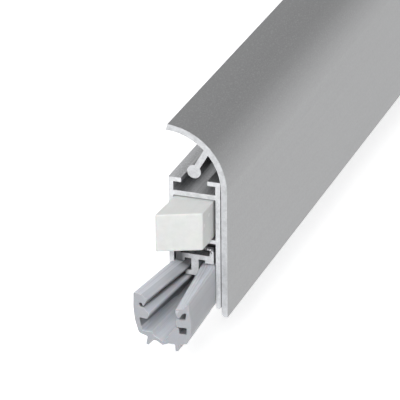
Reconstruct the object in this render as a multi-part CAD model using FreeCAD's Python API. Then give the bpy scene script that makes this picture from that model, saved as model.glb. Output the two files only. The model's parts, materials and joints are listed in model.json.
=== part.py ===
import FreeCAD, Part
import math
import os

# Automatic drop seal for the bottom of a door, in millimetres.
# X runs along the door with the plunger at -X, +Y points into the door leaf, +Z is up.
# The section is drawn with w, the distance out from the housing's back, and h, the height above
# the housing's lower edge. The door face lies stand_off behind the back. The origin is on the door
# face, midway between the brackets' screw holes.

# Housing extrusion
length = 335.0
housing_width = 13.0
housing_height = 33.2
wall = 1.2
web = 1.25
channel_depth = 2.25
channel_lip = 1.1
mouth_width = 6.6
chamber_height = 10.5
ledge_thickness = 1.0
ledge_gap = 7.0
edge_round = 0.55

# Cover extrusion
cover_wall = 1.5
cover_gap = 0.2
cover_radius = 15.6
cover_turn_below = 2.2
cover_overhang = 1.9
cover_edge_round = 0.9
ball_radius = 1.7
ball_above_lips = 0.4
rib_thickness = 1.5
rib_angle = 60.0
tip_slant = 0.4
stand_off = 0.5

# Clearances between fitted pieces, and how far a cut reaches past the metal
slide_gap = 0.1
pin_gap = 0.03
slot_gap = 0.1
working_gap = 0.3
overrun = 1.0

# Lever mechanism
pivot_above_ledge = 2.1
lever_tilt = 20.0
axle_radius = 1.25
drive_pin_radius = 1.0
lift_pin_radius = 1.2
lever_thickness = 2.2
lever_hub_radius = 2.5
lever_rim = 0.9
bar_thickness = 2.0
bar_side_wall = 1.0
bar_floor = 1.05
eye_margin = 1.05
top_clearance = 0.5
near_pivot_inset = 77.5
far_pivot_inset = 107.5
bar_end_margin = 6.0

# Bearing blocks
block_lead = 11.0
block_end_wall = 6.4
screw_radius = 1.4
screw_head_radius = 2.6
screw_depth = 7.5
hex_recess_radius = 0.9
hex_recess_depth = 0.8
screw_tip_gap = 0.5
block_bevel = 0.5

# Plunger, its rod and its spring
plunger_width = 10.0
plunger_height = 9.6
plunger_reach = 12.0
plunger_slant = 4.5
plunger_inside = 20.0
plunger_round = 0.45
plunger_rim_round = 0.36
plunger_draft = 0.5
runner_width = 1.5
runner_setback = 6.0
rod_radius = 1.5
rod_into_plunger = 14.0
nut_across_flats = 5.5
nut_height = 2.4
spring_length = 22.0
spring_radius = 2.3
spring_wire = 0.7
spring_turns = 4.5
guide_length = 10.0
rod_tail = 3.0

# Carrier extrusion
carrier_width = 9.5
carrier_wall = 1.0
carrier_top_gap = 0.9
carrier_lip = 1.0
carrier_channel = 1.5
carrier_web = 1.2
carrier_mouth = 5.1
pad_width = 2.15
pad_height = 0.8
stem_thickness = 1.85
stem_height = 3.1
foot_width = 4.8
foot_thickness = 1.2

# Lift shoes
shoe_length = 22.0
shoe_boss_rise = 0.8
cheek_thickness = 1.6
cheek_length = 11.8
set_screw_radius = 1.5
socket_share = 0.55

# Rubber seal
rubber_gap = 0.25
rubber_wall = 1.5
rubber_corner = 2.9
rubber_reach = 19.0
rubber_depth = 8.2
grip_gap = 0.15
lip_thickness = 1.2
lip_slope = 0.8
rib_thickness_held = 3.1
floor_thickness = 0.9
floor_rise = 0.75
bump_height = 0.55
fin_offset = 2.25
fin_thickness = 0.55
fin_length = 1.8
flare_out = 2.65
flare_shift = 1.42
flare_settle = 0.2
lip_sag = 1.9
rib_sag = 0.9
end_skew = 0.167
lip_round = 0.5
rib_round = 1.1
floor_round = 0.6
shoulder_round = 1.0
shoulder_drop = 0.9
wall_foot = 1.7
floor_turn = 0.7
underside_rise = 1.5
fin_root = 0.6
bump_half = 0.4
bump_reach = 0.9

# Cover clips and mounting brackets
clip_inset = 47.5
clip_length = 15.0
clip_wall = 0.95
clip_opening = 116.0
clip_foot = 2.0
bracket_inset = 92.5
bracket_length = 24.0
bracket_wall = 1.4
bracket_foot = 2.0
bracket_height = 10.4
bracket_hole_radius = 2.2
clamp_screw_radius = 2.0
bracket_screw_rise = 6.3
foot_gap = 0.3
bend_round = 0.5
edge_break = 0.3

# Heights and offsets that follow from the sizes above
axis = housing_width / 2
half_length = length / 2
channel_top = housing_height - channel_lip
channel_floor = channel_top - channel_depth
chamber_top = channel_floor - web
chamber_floor = chamber_top - chamber_height
ledge_bottom = chamber_floor - ledge_thickness
inner_half = axis - wall
bracket_top = housing_height + bracket_height
screw_height = housing_height + bracket_screw_rise
cover_inside = housing_width + cover_gap
cover_outside = cover_inside + cover_wall
cover_centre = cover_outside - cover_radius
cover_straight_top = housing_height - cover_turn_below
ball_height = housing_height + ball_above_lips + ball_radius

near_pivot = near_pivot_inset - half_length
far_pivot = half_length - far_pivot_inset
clip_positions = (clip_inset - half_length, 0, half_length - clip_inset)
bracket_positions = (bracket_inset - half_length, half_length - bracket_inset)

pivot_height = chamber_floor + pivot_above_ledge
block_bottom = chamber_floor + slide_gap
block_top = chamber_top - slide_gap
block_low = wall + slide_gap
block_high = housing_width - block_low
moving_top = chamber_top - top_clearance
bar_low = block_low + bar_side_wall
bar_high = bar_low + bar_thickness
bar_bottom = pivot_height + axle_radius + bar_floor + slide_gap
lever_low = bar_high + working_gap + slide_gap
lever_high = lever_low + lever_thickness
cheek_low = lever_high + working_gap
cheek_high = cheek_low + cheek_thickness
drive_arm = moving_top - eye_margin - slot_gap - drive_pin_radius - pivot_height
lift_rise = moving_top - eye_margin - slot_gap - lift_pin_radius - pivot_height
tilt = math.radians(lever_tilt)
lift_arm = lift_rise / math.sin(tilt)
seal_drop = 2 * lift_rise
plunger_travel = 2 * drive_arm * math.sin(tilt)

pin_near = lift_arm * math.cos(tilt)
slot_start = pin_near - lift_pin_radius - working_gap
slot_end = lift_arm + lift_pin_radius + working_gap
cheek_start = (slot_start + slot_end - cheek_length) / 2
cheek_end = cheek_start + cheek_length
block_start = -block_lead
block_end = cheek_end + slide_gap + block_end_wall

carrier_top = ledge_bottom - carrier_top_gap
carrier_channel_top = carrier_top - carrier_lip
carrier_floor = carrier_channel_top - carrier_channel
carrier_web_bottom = carrier_floor - carrier_web
foot_top = carrier_web_bottom - stem_height
foot_bottom = foot_top - foot_thickness

plunger_top = chamber_top - 2 * slide_gap
plunger_bottom = plunger_top - plunger_height
plunger_low = wall + slide_gap
plunger_end = -half_length + plunger_inside
rod_height = (bar_bottom + moving_top) / 2
rod_w = bar_high + edge_break + nut_across_flats / math.sqrt(3)
guide_start = plunger_end + spring_length + 2 * slide_gap
guide_end = guide_start + guide_length
tab_start = guide_end + slide_gap
tab_end = tab_start + bar_thickness


def point(x, w, h):
    """Turns a place in the section into a point of the model."""
    return FreeCAD.Vector(x, -w - stand_off, h - screw_height)


def outline(corners, place):
    """Closed wire through (a, b, radius) corners, each rounded to its radius."""
    edges = []
    starts = []
    ends = []
    count = len(corners)
    for i, (a, b, radius) in enumerate(corners):
        corner = FreeCAD.Vector(a, b, 0)
        before = FreeCAD.Vector(*corners[i - 1][:2], 0) - corner
        after = FreeCAD.Vector(*corners[(i + 1) % count][:2], 0) - corner
        before.normalize()
        after.normalize()
        half = before.getAngle(after) / 2
        back = radius / math.tan(half)
        starts.append(corner + before * back)
        ends.append(corner + after * back)
    for i, (a, b, radius) in enumerate(corners):
        if radius > 0:
            corner = FreeCAD.Vector(a, b, 0)
            chord = (starts[i] + ends[i]) / 2
            inward = chord - corner
            centre = corner + inward * ((starts[i] - corner).Length ** 2 / inward.Length ** 2)
            inward.normalize()
            crown = centre - inward * radius
            arc_points = [place(v.x, v.y) for v in (starts[i], crown, ends[i])]
            edges.append(Part.Arc(*arc_points).toShape())
        target = starts[(i + 1) % count]
        if ends[i].distanceToPoint(target) > 1e-6:
            line = Part.makeLine(place(ends[i].x, ends[i].y), place(target.x, target.y))
            edges.append(line)
    return Part.Wire(edges)


def profile(corners, x0, x1):
    """Extrusion along X of a section given as (w, h, radius) corners."""
    wire = outline(corners, lambda w, h: point(x0, w, h))
    return Part.Face(wire).extrude(FreeCAD.Vector(x1 - x0, 0, 0))


def plan(corners, h0, h1):
    """Upright prism of a plan given as (x, w, radius) corners."""
    wire = outline(corners, lambda x, w: point(x, w, h0))
    return Part.Face(wire).extrude(FreeCAD.Vector(0, 0, h1 - h0))


def mirrored(half):
    """Whole section from its door-side half, given as (offset from the middle, h, radius)."""
    door_side = [(axis - offset, h, radius) for offset, h, radius in half]
    cover_side = [(axis + offset, h, radius) for offset, h, radius in reversed(half)]
    return door_side + cover_side


def box(x0, x1, w0, w1, h0, h1):
    """Block between two corners of the section frame."""
    return Part.makeBox(x1 - x0, w1 - w0, h1 - h0, point(x0, w1, h0))


def cross_pin(x, h, w0, w1, radius):
    """Round pin across the section."""
    return Part.makeCylinder(radius, w1 - w0, point(x, w0, h), FreeCAD.Vector(0, -1, 0))


def long_pin(x0, x1, w, h, radius):
    """Round rod along X."""
    return Part.makeCylinder(radius, x1 - x0, point(x0, w, h), FreeCAD.Vector(1, 0, 0))


def upright_pin(x, w, h0, h1, radius):
    """Round pin standing along Z."""
    return Part.makeCylinder(radius, h1 - h0, point(x, w, h0))


def hexagon(reach):
    """Corners of a hexagon around (0, 0), each at this reach from the middle."""
    angles = [math.radians(60 * i) for i in range(6)]
    return [(reach * math.cos(a), reach * math.sin(a)) for a in angles]


def hex_prism_up(x, w, h0, h1, reach):
    """Hexagonal prism standing along Z."""
    corners = [(x + a, w + b, 0) for a, b in hexagon(reach)]
    return plan(corners, h0, h1)


def save(shapes):
    """Writes one STEP file for each named sub-part."""
    os.makedirs("parts", exist_ok=True)
    for name, shape in shapes.items():
        shape.exportStep("parts/" + name + ".step")


# Extrusions
def housing_profile():
    half = [
        (inner_half, channel_floor, 0),
        (inner_half, channel_top, 0),
        (mouth_width / 2, channel_top, 0),
        (mouth_width / 2, housing_height, 0),
        (axis, housing_height, 0),
        (axis, 0, edge_round),
        (inner_half, 0, edge_round),
        (inner_half, ledge_bottom, 0),
        (ledge_gap / 2, ledge_bottom, 0),
        (ledge_gap / 2, chamber_floor, 0),
        (inner_half, chamber_floor, 0),
        (inner_half, chamber_top, 0),
    ]
    body = profile(mirrored(half), -half_length, half_length)
    return body.cut([screw_space(x) for x in case_screw_places()])


def cover_profile():
    inner_radius = cover_radius - cover_wall
    tip_low = -stand_off
    tip_high = tip_low + tip_slant
    middle = math.radians(45)

    def at(w, h):
        return point(-half_length, w, h)

    def crown(radius, angle):
        return at(cover_centre + radius * math.cos(angle), cover_straight_top + radius * math.sin(angle))

    def above(radius, w):
        return at(w, cover_straight_top + math.sqrt(radius**2 - (w - cover_centre) ** 2))

    bottom = -cover_overhang
    turn = cover_edge_round
    foot_w = cover_inside + turn
    foot_h = bottom + turn
    foot_crown = at(foot_w - turn * math.sin(middle), foot_h - turn * math.cos(middle))
    corners = [
        at(cover_outside, bottom),
        at(cover_outside, cover_straight_top),
        above(cover_radius, tip_high),
        above(inner_radius, tip_low),
        at(cover_inside, cover_straight_top),
        at(cover_inside, foot_h),
        at(foot_w, bottom),
    ]
    edges = [
        Part.makeLine(corners[0], corners[1]),
        Part.Arc(corners[1], crown(cover_radius, middle), corners[2]).toShape(),
        Part.makeLine(corners[2], corners[3]),
        Part.Arc(corners[3], crown(inner_radius, middle), corners[4]).toShape(),
        Part.makeLine(corners[4], corners[5]),
        Part.Arc(corners[5], foot_crown, corners[6]).toShape(),
        Part.makeLine(corners[6], corners[0]),
    ]
    skin = Part.Face(Part.Wire(edges)).extrude(FreeCAD.Vector(length, 0, 0))
    ball = long_pin(-half_length, half_length, axis, ball_height, ball_radius)
    return skin.fuse([ball, hanging_rib()]).removeSplitter()


def hanging_rib():
    """Rib from the inside of the cover's curve down to its round edge."""
    along = (math.cos(math.radians(rib_angle)), math.sin(math.radians(rib_angle)))
    side = (-along[1] * rib_thickness / 2, along[0] * rib_thickness / 2)
    from_centre = (axis - cover_centre, ball_height - cover_straight_top)
    middle_radius = cover_radius - cover_wall / 2
    dot = from_centre[0] * along[0] + from_centre[1] * along[1]
    distance = from_centre[0] ** 2 + from_centre[1] ** 2
    reach = -dot + math.sqrt(dot**2 - distance + middle_radius**2)
    far = (axis + along[0] * reach, ball_height + along[1] * reach)
    corners = [
        (axis + side[0], ball_height + side[1], 0),
        (far[0] + side[0], far[1] + side[1], 0),
        (far[0] - side[0], far[1] - side[1], 0),
        (axis - side[0], ball_height - side[1], 0),
    ]
    return profile(corners, -half_length, half_length)


def carrier_profile():
    half = [
        (carrier_width / 2 - carrier_wall, carrier_floor, 0),
        (carrier_width / 2 - carrier_wall, carrier_channel_top, 0),
        (carrier_mouth / 2, carrier_channel_top, 0),
        (carrier_mouth / 2, carrier_top, 0),
        (carrier_width / 2, carrier_top, 0),
        (carrier_width / 2, carrier_web_bottom - pad_height, 0),
        (carrier_width / 2 - pad_width, carrier_web_bottom - pad_height, 0),
        (carrier_width / 2 - pad_width, carrier_web_bottom, 0),
        (stem_thickness / 2, carrier_web_bottom, 0),
        (stem_thickness / 2, foot_top, 0),
        (foot_width / 2, foot_top, 0),
        (foot_width / 2, foot_bottom, 0),
    ]
    return profile(mirrored(half), -half_length, half_length)


# Rubber seal: two walls with a lip and a rib each, which grip the carrier's foot
def rubber_corners():
    """Door-side half of the seal in the housing, and how each corner moves at the free end.

    Each corner is (offset from the middle, h, radius, move outwards, move down).
    """
    outer = inner_half - rubber_gap
    inner = outer - rubber_wall
    lip_end = stem_thickness / 2 + 2 * grip_gap
    slot_root = foot_width / 2 + 2 * grip_gap
    lip_under = foot_top + grip_gap
    lip_over = lip_under + lip_thickness
    rib_top = foot_bottom - grip_gap
    rib_under = rib_top - rib_thickness_held
    floor_top = foot_bottom - rubber_depth
    underside = floor_top - floor_thickness
    fin_inside = fin_offset + fin_thickness
    fin_bottom = underside + fin_root - fin_length

    def floor(offset, h, radius):
        return (offset, h, radius, flare_out * offset / outer, flare_settle)

    def side(offset, h, radius, down):
        return (offset, h, radius, flare_out, down)

    return [
        floor(bump_half, floor_top, 0),
        floor(inner * floor_turn, floor_top + floor_rise, floor_round),
        side(inner, floor_top + wall_foot, shoulder_round, flare_settle),
        side(inner, rib_under, 0, rib_sag),
        side(lip_end + grip_gap, rib_under, rib_round, rib_sag),
        side(lip_end + grip_gap, rib_top, rib_round, rib_sag),
        (slot_root, rib_top, 0, flare_out + grip_gap, rib_sag),
        (slot_root, lip_under, 0, flare_out + grip_gap, lip_sag),
        side(lip_end, lip_under, lip_round, lip_sag),
        side(lip_end, lip_over, lip_round, lip_sag),
        side(outer - shoulder_round, lip_over + lip_slope, lip_round, flare_settle),
        side(outer, lip_over + lip_slope - shoulder_drop, floor_round, flare_settle),
        side(outer, underside + underside_rise, rubber_corner, 0),
        floor(fin_inside, underside + fin_root, 0),
        floor(fin_inside, fin_bottom, 0),
        floor(fin_offset, fin_bottom, 0),
        floor(fin_offset - bump_half, underside + fin_root / 2, 0),
        floor(bump_reach, underside, floor_round),
        floor(bump_half, underside - bump_height, 0),
    ]


def rubber_section(flare, direction):
    """Outline at one end of the housing for flare 0, or at the seal's free end for flare 1."""
    middle = axis - flare * flare_shift
    corners = rubber_corners()
    door_side = []
    cover_side = []
    for offset, h, radius, out, down in corners:
        wide = offset + flare * out
        low = h - flare * down
        door_side.append((middle - wide, low, radius))
        cover_side.append((middle + wide, low, radius))

    def place(w, h):
        reach = half_length + flare * (rubber_reach + end_skew * (w - middle))
        return point(direction * reach, w, h)

    return outline(door_side + cover_side[::-1], place)


def seal_rubber():
    inside = Part.Face(rubber_section(0, -1)).extrude(FreeCAD.Vector(length, 0, 0))
    ends = [
        Part.makeLoft([rubber_section(0, direction), rubber_section(1, direction)], True, True)
        for direction in (-1, 1)
    ]
    return inside.fuse(ends).removeSplitter()


# Bearing blocks, guide block and the screws that hold them to the housing's back wall
def case_screw_places():
    """Places along X of the screws, the guide block's first."""
    places = [(guide_start + guide_end) / 2]
    for pivot in (near_pivot, far_pivot):
        places.append(pivot + block_end - block_end_wall / 2)
    return places


def screw_space(x):
    """Countersunk hole through the back wall, as deep as the wall."""
    top = point(x, 0, pivot_height)
    return Part.makeCone(
        screw_head_radius, screw_radius + pin_gap, wall, top, FreeCAD.Vector(0, -1, 0)
    )


def case_screw(x):
    """Countersunk screw, flush with the housing's back, with a hexagonal recess."""
    outward = FreeCAD.Vector(0, -1, 0)
    head_radius = screw_head_radius - pin_gap
    head = Part.makeCone(head_radius, screw_radius, wall, point(x, 0, pivot_height), outward)
    shank = cross_pin(x, pivot_height, wall, screw_depth, screw_radius)
    corners = [(x + a, pivot_height + b, 0) for a, b in hexagon(hex_recess_radius)]
    wire = outline(corners, lambda u, h: point(u, 0, h))
    recess = Part.Face(wire).extrude(FreeCAD.Vector(0, -hex_recess_depth, 0))
    return head.fuse(shank).removeSplitter().cut(recess)


def screw_bore(x):
    """Blind hole in a block for the screw at x."""
    return cross_pin(x, pivot_height, 0, screw_depth + screw_tip_gap, screw_radius + pin_gap)


def case_screws():
    return Part.makeCompound([case_screw(x) for x in case_screw_places()])


def moulded_block(x0, x1):
    """Block that fills the chamber, with its upright edges bevelled."""
    body = box(x0, x1, block_low, block_high, block_bottom, block_top)
    upright = [e for e in body.Edges if e.BoundBox.ZLength > block_bevel]
    return body.makeChamfer(block_bevel, upright)


def bearing_block(pivot):
    """Moulded block with the axle bore, the bar's channel, the lever's slot and the shoe's guide."""
    body = moulded_block(pivot + block_start, pivot + block_end)
    channel = box(
        pivot + block_start - overrun,
        pivot + block_end + overrun,
        bar_low - slide_gap,
        bar_high + slide_gap,
        bar_bottom - slide_gap,
        block_top + overrun,
    )
    lever_slot = box(
        pivot - block_lead + block_end_wall,
        pivot + lift_arm + lever_tip_radius() + working_gap,
        bar_high + slide_gap,
        lever_high + working_gap,
        block_bottom - overrun,
        block_top + overrun,
    )
    shoe_guide = box(
        pivot + cheek_start - slide_gap,
        pivot + cheek_end + slide_gap,
        lever_high + working_gap - slide_gap,
        cheek_high + slide_gap,
        block_bottom - overrun,
        block_top + overrun,
    )
    bore = cross_pin(
        pivot, pivot_height, block_low - overrun, block_high + overrun, axle_radius + pin_gap
    )
    screws = [screw_bore(x) for x in case_screw_places()]
    return body.cut([channel, lever_slot, shoe_guide, bore] + screws)


def lever_axle(pivot):
    return cross_pin(pivot, pivot_height, block_low + slide_gap, block_high - slide_gap, axle_radius)


def guide_block():
    """Block that guides the plunger's rod and takes the spring's thrust."""
    body = moulded_block(guide_start, guide_end)
    bore = rod_bore(guide_start, guide_end)
    return body.cut([bore, screw_bore(case_screw_places()[0])])


def rod_bore(x0, x1):
    """Hole for the plunger's rod through a piece between x0 and x1."""
    return long_pin(x0 - overrun, x1 + overrun, rod_w, rod_height, rod_radius + pin_gap)


# Plunger, rod, nut, spring and push bar
def plunger():
    outer = -half_length - plunger_reach
    high = plunger_low + plunger_width
    corners = [
        (outer, plunger_low - plunger_draft, plunger_round),
        (outer + plunger_slant, high, plunger_round),
        (plunger_end, high, 0),
        (plunger_end, plunger_low, 0),
        (-half_length - plunger_travel - working_gap, plunger_low, 0),
    ]
    body = plan(corners, plunger_bottom, plunger_top)
    rims = [e for e in body.Edges if is_rim(e)]
    body = body.makeFillet(plunger_rim_round, rims)
    runners = []
    for low in (plunger_low, high - runner_width):
        start = -half_length + runner_setback
        runner = box(start, plunger_end, low, low + runner_width, block_bottom, plunger_bottom + overrun)
        runners.append(runner)
    hole_start = plunger_end - rod_into_plunger - screw_tip_gap
    hole = rod_bore(hole_start + overrun, plunger_end)
    return body.fuse(runners).removeSplitter().cut(hole)


def is_rim(edge):
    """Is this a top or bottom edge of the plunger's body, apart from its inner end?"""
    level = abs(edge.BoundBox.ZLength) < 1e-6
    inner = edge.BoundBox.XMin > plunger_end - 1e-6
    return level and not inner


def plunger_rod():
    start = plunger_end - rod_into_plunger
    end = tab_end + nut_height + rod_tail
    return long_pin(start, end, rod_w, rod_height, rod_radius)


def lock_nut():
    reach = nut_across_flats / math.sqrt(3)
    corners = [(rod_w + a, rod_height + b, 0) for a, b in hexagon(reach)]
    body = profile(corners, tab_end, tab_end + nut_height)
    return body.cut(rod_bore(tab_end, tab_end + nut_height))


def return_spring():
    """Compression spring of square wire around the rod, between the plunger and the guide block."""
    half_wire = spring_wire / 2
    start = plunger_end + slide_gap + half_wire
    run = spring_length - spring_wire
    helix = Part.makeHelix(run / spring_turns, run, spring_radius)
    inner = spring_radius - half_wire
    outer = spring_radius + half_wire
    section = [(inner, -half_wire), (outer, -half_wire), (outer, half_wire), (inner, half_wire)]
    corners = [FreeCAD.Vector(r, 0, z) for r, z in section + section[:1]]
    coil = Part.Wire(helix.Edges).makePipeShell([Part.makePolygon(corners)], True, True)
    coil.rotate(FreeCAD.Vector(0, 0, 0), FreeCAD.Vector(0, 1, 0), 90)
    coil.translate(point(start, rod_w, rod_height))
    return coil


def push_bar():
    """Flat bar on edge, bent across the chamber where the rod holds it, with a slot for each lever."""
    end = far_pivot + bar_end_margin
    inside = slide_gap + bar_thickness / 2
    corners = [
        (tab_start, block_high - inside, bend_round),
        (tab_start, bar_low, inside),
        (end, bar_low, 0),
        (end, bar_high, 0),
        (tab_end, bar_high, edge_break),
        (tab_end, block_high - inside, bend_round),
    ]
    body = plan(corners, bar_bottom, moving_top)
    cuts = [rod_bore(tab_start, tab_end)]
    cut_low = bar_low - overrun
    cut_high = bar_high + overrun
    for pivot in (near_pivot, far_pivot):
        x = pivot - drive_arm * math.sin(tilt)
        half_slot = drive_pin_radius + slot_gap / 2
        low = pivot_height + drive_arm * math.cos(tilt) - slot_gap
        high = pivot_height + drive_arm + slot_gap
        ends = [cross_pin(x, h, cut_low, cut_high, half_slot) for h in (low, high)]
        middle = box(x - half_slot, x + half_slot, cut_low, cut_high, low, high)
        cuts.append(middle.fuse(ends))
    return body.cut(cuts)


# Levers: cranks with an arm in the bar's slot and a long arm that carries the seal
def lever_tip_radius():
    return lift_pin_radius + lever_rim


def tapered_link(start, start_radius, end, end_radius):
    """Flat link with two round ends and straight tangent sides, as (x, h) centres."""
    dx = end[0] - start[0]
    dh = end[1] - start[1]
    span = math.hypot(dx, dh)
    heading = math.atan2(dh, dx)
    lean = math.acos((start_radius - end_radius) / span)

    def on(centre, radius, angle):
        return point(centre[0] + radius * math.cos(angle), lever_low, centre[1] + radius * math.sin(angle))

    upper = heading + lean
    lower = heading - lean
    edges = [
        Part.makeLine(on(start, start_radius, upper), on(end, end_radius, upper)),
        Part.Arc(
            on(end, end_radius, upper), on(end, end_radius, heading), on(end, end_radius, lower)
        ).toShape(),
        Part.makeLine(on(end, end_radius, lower), on(start, start_radius, lower)),
        Part.Arc(
            on(start, start_radius, lower),
            on(start, start_radius, heading + math.pi),
            on(start, start_radius, upper),
        ).toShape(),
    ]
    return Part.Face(Part.Wire(edges)).extrude(FreeCAD.Vector(0, -lever_thickness, 0))


def lift_pin_place(pivot):
    return (pivot + lift_arm * math.cos(tilt), pivot_height + lift_arm * math.sin(tilt))


def drive_pin_place(pivot):
    return (pivot - drive_arm * math.sin(tilt), pivot_height + drive_arm * math.cos(tilt))


def lever(pivot):
    hub = (pivot, pivot_height)
    long_arm = tapered_link(hub, lever_hub_radius, lift_pin_place(pivot), lever_tip_radius())
    short_arm = tapered_link(
        hub, lever_hub_radius, drive_pin_place(pivot), drive_pin_radius + lever_rim
    )
    holes = []
    for place, radius in (
        (hub, axle_radius),
        (lift_pin_place(pivot), lift_pin_radius),
        (drive_pin_place(pivot), drive_pin_radius),
    ):
        holes.append(cross_pin(*place, lever_low - overrun, lever_high + overrun, radius + pin_gap))
    return long_arm.fuse(short_arm).removeSplitter().cut(holes)


def drive_pin(pivot):
    return cross_pin(*drive_pin_place(pivot), bar_low + slide_gap, lever_high, drive_pin_radius)


def lift_pin(pivot):
    return cross_pin(*lift_pin_place(pivot), lever_low, cheek_high, lift_pin_radius)


# Lift shoes: clamped in the carrier's channel, each with a slotted cheek for the lever's pin
def lift_shoe(pivot):
    half_mouth = carrier_mouth / 2 - slide_gap
    half_base = carrier_width / 2 - carrier_wall - slide_gap
    base_low = carrier_floor + slide_gap
    base_high = carrier_channel_top - slide_gap
    boss_top = carrier_top + shoe_boss_rise
    start = pivot + cheek_start
    end = start + shoe_length
    base = box(start, end, axis - half_base, axis + half_base, base_low, base_high)
    boss = box(start, end, axis - half_mouth, axis + half_mouth, base_high, boss_top)
    cheek = box(start, pivot + cheek_end, cheek_low, cheek_high, base_high, moving_top)
    top_edges = [
        e
        for e in cheek.Edges
        if abs(e.BoundBox.ZMin - (moving_top - screw_height)) < 1e-6 and e.BoundBox.XLength < 1e-6
    ]
    cheek = cheek.makeFillet(eye_margin, top_edges)
    pin_height = pivot_height + lift_rise
    half_slot = lift_pin_radius + slot_gap
    slot_ends = (pivot + slot_start + half_slot, pivot + slot_end - half_slot)
    cut_low = cheek_low - overrun
    cut_high = cheek_high + overrun
    rounds = [cross_pin(x, pin_height, cut_low, cut_high, half_slot) for x in slot_ends]
    straight = box(*slot_ends, cut_low, cut_high, pin_height - half_slot, pin_height + half_slot)
    x, w = shoe_screw_place(pivot)
    thread = upright_pin(x, w, base_low - overrun, boss_top + overrun, set_screw_radius + pin_gap)
    return base.fuse([boss, cheek]).removeSplitter().cut([straight.fuse(rounds), thread])


def shoe_screw_place(pivot):
    return (pivot + cheek_start + (cheek_length + shoe_length) / 2, axis)


def shoe_screws():
    screws = []
    for pivot in (near_pivot, far_pivot):
        x, w = shoe_screw_place(pivot)
        screws.append(set_screw(x, w, carrier_floor, carrier_top + shoe_boss_rise, set_screw_radius))
    return Part.makeCompound(screws)


def set_screw(x, w, h0, h1, radius):
    """Headless screw with a hexagonal socket in its top."""
    body = upright_pin(x, w, h0, h1, radius)
    return body.cut(hex_prism_up(x, w, h1 - hex_recess_depth, h1 + overrun, radius * socket_share))


# Cover clips: a foot in the housing's channel and a ring that grips the cover's round edge
def cover_clip(x):
    x0 = x - clip_length / 2
    x1 = x + clip_length / 2
    foot_half = inner_half - foot_gap
    neck_half = mouth_width / 2 - foot_gap
    clip_foot_top = channel_top - slide_gap
    half = [
        (foot_half, clip_foot_top - clip_foot, 0),
        (foot_half, clip_foot_top, 0),
        (neck_half, clip_foot_top, 0),
        (neck_half, housing_height, 0),
    ]
    base = profile(mirrored(half[::-1]), x0, x1)
    ring_radius = ball_radius + pin_gap + clip_wall
    ring = long_pin(x0, x1, axis, ball_height, ring_radius)
    bore = long_pin(x0 - overrun, x1 + overrun, axis, ball_height, ball_radius + pin_gap)
    reach = 2 * ring_radius
    sides = [math.radians(rib_angle + turn * clip_opening / 2) for turn in (-1, 1)]
    corners = [(axis, ball_height, 0)]
    for side in sides:
        corners.append((axis + reach * math.cos(side), ball_height + reach * math.sin(side), 0))
    beyond = math.radians(rib_angle)
    corners.insert(2, (axis + 2 * reach * math.cos(beyond), ball_height + 2 * reach * math.sin(beyond), 0))
    opening = profile(corners, x0 - overrun, x1 + overrun)
    return base.fuse(ring).cut([bore, opening]).removeSplitter()


# Mounting brackets: a foot clamped in the housing's channel and a leg screwed to the door
def mounting_bracket(x):
    x0 = x - bracket_length / 2
    x1 = x + bracket_length / 2
    riser_low = axis - mouth_width / 2 + slide_gap
    riser_high = riser_low + bracket_wall
    foot_low = wall + foot_gap
    foot_high = housing_width - foot_low
    shelf = housing_height + slide_gap
    corners = [
        (foot_low, channel_top - bracket_foot, 0),
        (foot_high, channel_top - bracket_foot, 0),
        (foot_high, channel_top, 0),
        (riser_high, channel_top, 0),
        (riser_high, shelf + bracket_wall, bend_round),
        (bracket_wall - stand_off, shelf + bracket_wall, edge_break),
        (bracket_wall - stand_off, bracket_top, 0),
        (-stand_off, bracket_top, 0),
        (-stand_off, shelf, edge_break),
        (riser_low, shelf, 0),
        (riser_low, channel_top, 0),
        (foot_low, channel_top, 0),
    ]
    body = profile(corners, x0, x1)
    hole = cross_pin(x, screw_height, -stand_off - overrun, bracket_wall, bracket_hole_radius)
    thread = upright_pin(
        x, clamp_screw_offset(), channel_floor, channel_top + overrun, clamp_screw_radius + pin_gap
    )
    return body.cut([hole, thread])


def clamp_screw_offset():
    return axis + mouth_width / 2 - clamp_screw_radius - foot_gap


def bracket_clamp_screws():
    top = channel_top + channel_lip / 2
    screws = [
        set_screw(x, clamp_screw_offset(), channel_floor, top, clamp_screw_radius)
        for x in bracket_positions
    ]
    return Part.makeCompound(screws)


def all_parts():
    parts = {
        "housing_profile": housing_profile(),
        "cover_profile": cover_profile(),
        "bracket_clamp_screws": bracket_clamp_screws(),
        "guide_block": guide_block(),
        "case_screws": case_screws(),
        "return_spring": return_spring(),
        "plunger": plunger(),
        "plunger_rod": plunger_rod(),
        "lock_nut": lock_nut(),
        "push_bar": push_bar(),
        "carrier_profile": carrier_profile(),
        "shoe_screws": shoe_screws(),
        "seal_rubber": seal_rubber(),
    }
    for name, x in zip(("near", "far"), bracket_positions):
        parts["mounting_bracket_" + name] = mounting_bracket(x)
    for name, x in zip(("near", "middle", "far"), clip_positions):
        parts["cover_clip_" + name] = cover_clip(x)
    for name, pivot in (("near", near_pivot), ("far", far_pivot)):
        parts["bearing_block_" + name] = bearing_block(pivot)
        parts["lever_axle_" + name] = lever_axle(pivot)
        parts["lever_" + name] = lever(pivot)
        parts["drive_pin_" + name] = drive_pin(pivot)
        parts["lift_pin_" + name] = lift_pin(pivot)
        parts["lift_shoe_" + name] = lift_shoe(pivot)
    return parts


save(all_parts())
print("plunger travel", round(plunger_travel, 4), "seal drop", round(seal_drop, 4))
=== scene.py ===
import json
import math

import bmesh
import bpy
from mathutils import Euler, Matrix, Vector
from mathutils.geometry import tessellate_polygon


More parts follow.
